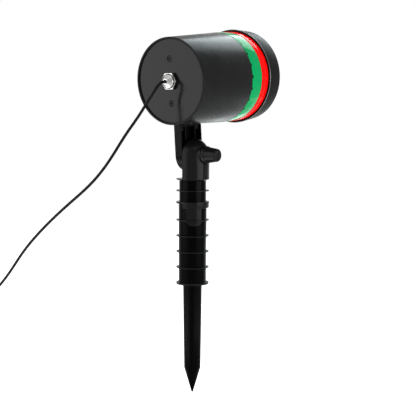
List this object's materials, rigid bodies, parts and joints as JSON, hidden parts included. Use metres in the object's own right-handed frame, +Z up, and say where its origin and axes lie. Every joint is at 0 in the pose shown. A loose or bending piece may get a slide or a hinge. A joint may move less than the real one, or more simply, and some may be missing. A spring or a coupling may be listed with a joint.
{
  "type": "laser star projector",
  "caption": "Barrel-shaped garden laser light projector with coloured front bands, on a tilting arm and a finned push-in ground spike, with a low-voltage lead.",
  "frame": {"origin": "tip of the ground spike, on the stake's axis", "axes": "+Z up along the stake, +Y the way the lens looks, +X along the tilt axis towards the clamping knob"},
  "size_m": [0.4172, 0.2332, 0.3895],
  "materials": {
    "barrel_plastic": "satin moulded black",
    "stake_plastic": "satin moulded black",
    "cover_plastic": "fine matt moulded dark grey",
    "rubber": "matt black rubber",
    "steel": "zinc-plated",
    "dark_steel": "blackened",
    "nickel": "bright nickel-plated brass",
    "brass": "turned brass",
    "aluminium": "extruded, plain",
    "green_gloss": "glossy green",
    "red_gloss": "glossy red",
    "window": "clear, smooth",
    "grating": "clear grating film",
    "board": "green laminate",
    "cord_sheath": "satin black sheath"
  },
  "bodies": {
    "stake": {"upper_stake": "stake_plastic", "lower_stake": "stake_plastic", "friction_washer": "rubber", "power_cord": "cord_sheath", "cord_coil": "cord_sheath", "coil_tie": "rubber", "adapter_strain_relief": "rubber", "adapter_housing": "barrel_plastic", "adapter_blade_near": "steel", "adapter_blade_far": "steel"},
    "head": {"barrel_housing": "barrel_plastic", "rear_cover": "cover_plastic", "cover_gasket": "rubber", "cover_screw_upper": "dark_steel", "cover_screw_lower": "dark_steel", "gland_seal": "rubber", "gland_body": "nickel", "gland_dome_nut": "nickel", "gland_lock_nut": "nickel", "green_band": "green_gloss", "red_band": "red_gloss", "front_bezel": "barrel_plastic", "front_window": "window", "window_gasket": "rubber", "laser_chassis": "barrel_plastic", "green_laser_module": "brass", "red_laser_module": "brass", "green_grating": "grating", "red_grating": "grating", "heat_sink": "aluminium", "driver_board": "board", "board_retainer_upper": "steel", "board_retainer_lower": "steel", "inner_lead": "cord_sheath", "green_module_lead": "cord_sheath", "red_module_lead": "cord_sheath", "tilt_arm": "stake_plastic", "arm_screw_rear": "steel", "arm_screw_front": "steel", "pivot_bolt": "steel"},
    "knob_washer": {"clamp_washer": "rubber"},
    "knob": {"clamp_knob": "stake_plastic", "knob_insert": "brass"}
  },
  "joints": [
    {"name": "head_tilt", "type": "hinge", "parent": "stake", "child": "head", "pos_m": [0, 0, 0.255], "axis": [1, 0, 0], "range_deg": [-94, 85], "deforming": ["power_cord"]},
    {"name": "knob_travel", "type": "slide", "parent": "stake", "child": "knob_washer", "axis": [1, 0, 0], "range_m": [0, 0.0015]},
    {"name": "knob_turn", "type": "hinge", "parent": "knob_washer", "child": "knob", "pos_m": [0.0186, 0, 0.255], "axis": [1, 0, 0], "range_deg": [0, 541]}
  ],
  "couplings": [
    {"joint": "knob_turn", "follows": "knob_travel", "rad_per_m": 6283.2}
  ]
}
